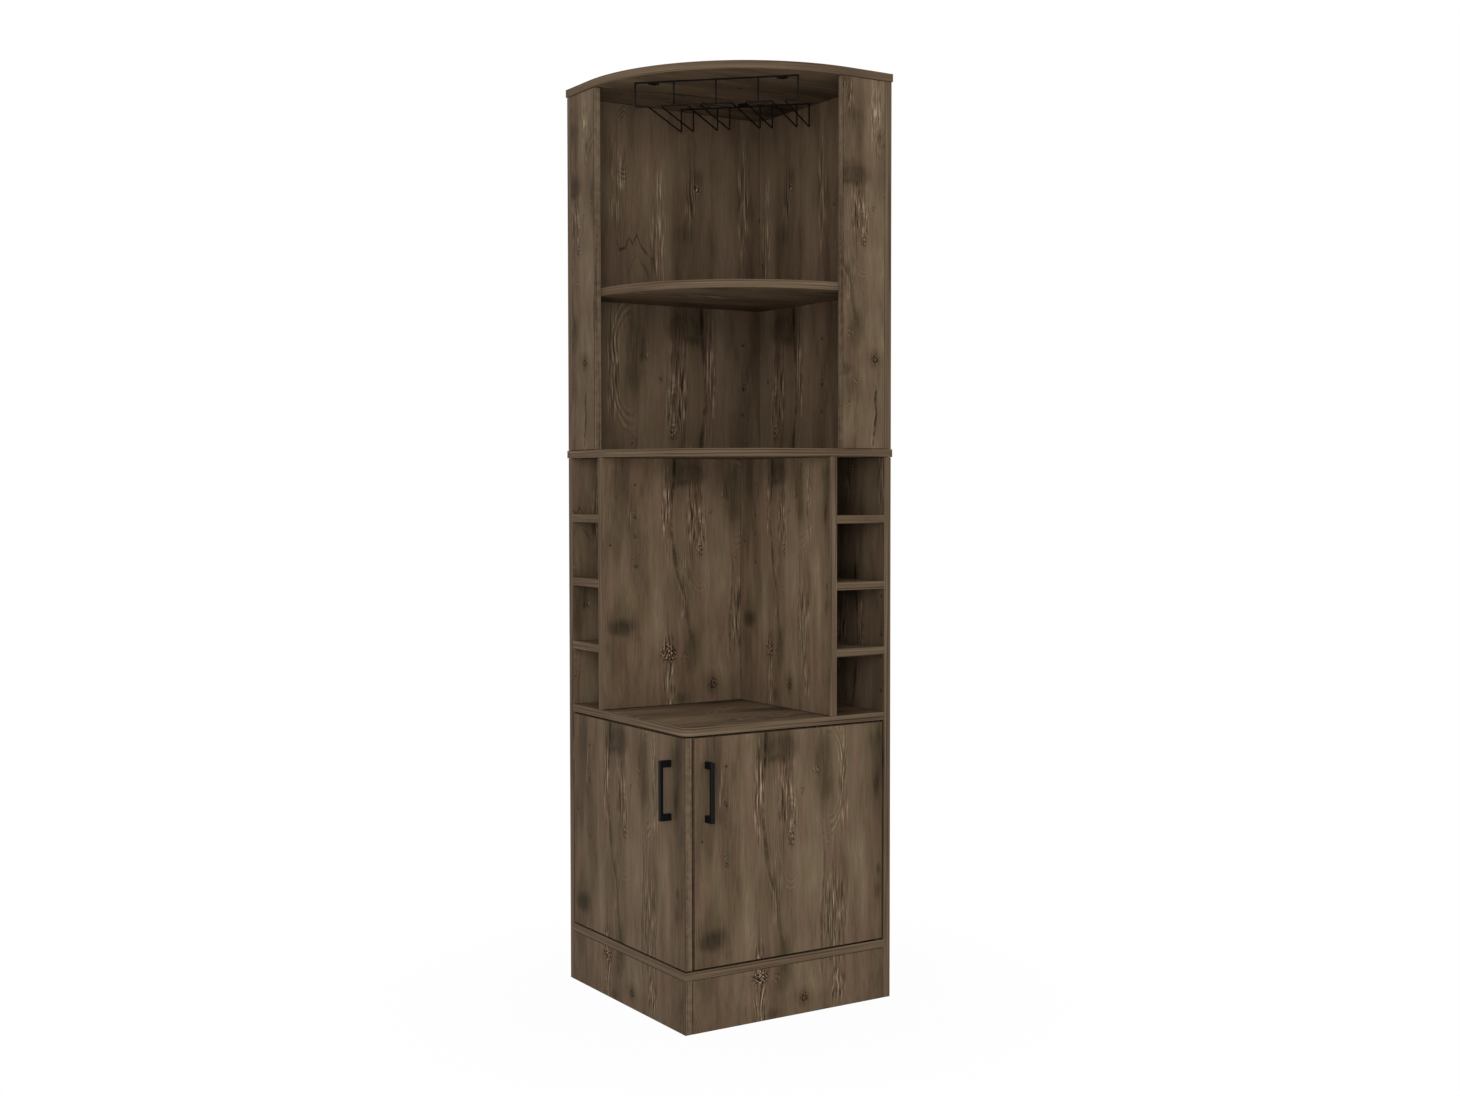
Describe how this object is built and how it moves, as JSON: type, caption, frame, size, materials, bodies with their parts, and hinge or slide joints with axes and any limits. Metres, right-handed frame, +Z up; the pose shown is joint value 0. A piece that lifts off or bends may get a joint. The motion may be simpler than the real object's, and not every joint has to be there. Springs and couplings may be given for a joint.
{
  "type": "corner bar cabinet",
  "caption": "Tall corner bar cabinet in rustic wood: base cupboard with hinged doors, bottle cubbies, serving bay, bowed shelf and a wire stemware rack.",
  "frame": {"origin": "on the floor, at the middle of the footprint with the handles included", "axes": "+Z up; the left front face looks along -X, the right front face along -Y, and the walls that stand in the room's corner look along +X and +Y"},
  "size_m": [0.491, 0.491, 1.8],
  "materials": {
    "wood_upright": "matt grey-brown rustic wood grain laminate, grain upright",
    "wood_level": "matt grey-brown rustic wood grain laminate, grain along the board",
    "black_steel": "satin black powder coat",
    "bright_steel": "zinc plated",
    "black_plastic": "moulded, matt"
  },
  "bodies": {
    "carcass": {"left_lower_wall": "wood_upright", "right_lower_wall": "wood_upright", "left_upper_wall": "wood_upright", "right_upper_wall": "wood_upright", "left_plinth": "wood_upright", "right_plinth": "wood_upright", "bottom_board": "wood_level", "countertop": "wood_level", "left_cubby_panel": "wood_upright", "right_cubby_panel": "wood_upright", "left_cubby_shelf_1": "wood_level", "left_cubby_shelf_2": "wood_level", "left_cubby_shelf_3": "wood_level", "right_cubby_shelf_1": "wood_level", "right_cubby_shelf_2": "wood_level", "right_cubby_shelf_3": "wood_level", "mid_board": "wood_level", "left_wing": "wood_upright", "right_wing": "wood_upright", "display_shelf": "wood_level", "top_board": "wood_level", "rack_front_bar": "black_steel", "rack_back_bar": "black_steel", "rack_left_loop": "black_steel", "rack_centre_loop": "black_steel", "rack_right_loop": "black_steel", "rack_left_rail": "black_steel", "rack_right_rail": "black_steel", "rack_left_post": "black_steel", "rack_centre_post": "black_steel", "rack_right_post": "black_steel", "rack_left_tab": "black_steel", "rack_right_tab": "black_steel", "rack_back_tab": "black_steel", "rack_left_screw": "bright_steel", "rack_right_screw": "bright_steel", "rack_back_screw": "bright_steel", "left_lower_pivot_bush": "black_plastic", "left_upper_pivot_bush": "black_plastic", "right_lower_pivot_bush": "black_plastic", "right_upper_pivot_bush": "black_plastic", "left_catch": "black_plastic", "right_catch": "black_plastic"},
    "left_door": {"left_door": "wood_upright", "left_handle": "black_steel", "left_lower_handle_screw": "bright_steel", "left_upper_handle_screw": "bright_steel", "left_lower_pivot_pin": "black_steel", "left_upper_pivot_pin": "black_steel", "left_strike_plate": "bright_steel"},
    "right_door": {"right_door": "wood_upright", "right_handle": "black_steel", "right_lower_handle_screw": "bright_steel", "right_upper_handle_screw": "bright_steel", "right_lower_pivot_pin": "black_steel", "right_upper_pivot_pin": "black_steel", "right_strike_plate": "bright_steel"}
  },
  "joints": [
    {"name": "left_door_hinge", "type": "hinge", "parent": "carcass", "child": "left_door", "pos_m": [-0.214, 0.217, 0.33175], "axis": [0, 0, -1], "range_deg": [0, 105]},
    {"name": "right_door_hinge", "type": "hinge", "parent": "carcass", "child": "right_door", "pos_m": [0.217, -0.214, 0.33175], "axis": [0, 0, 1], "range_deg": [0, 105]}
  ]
}
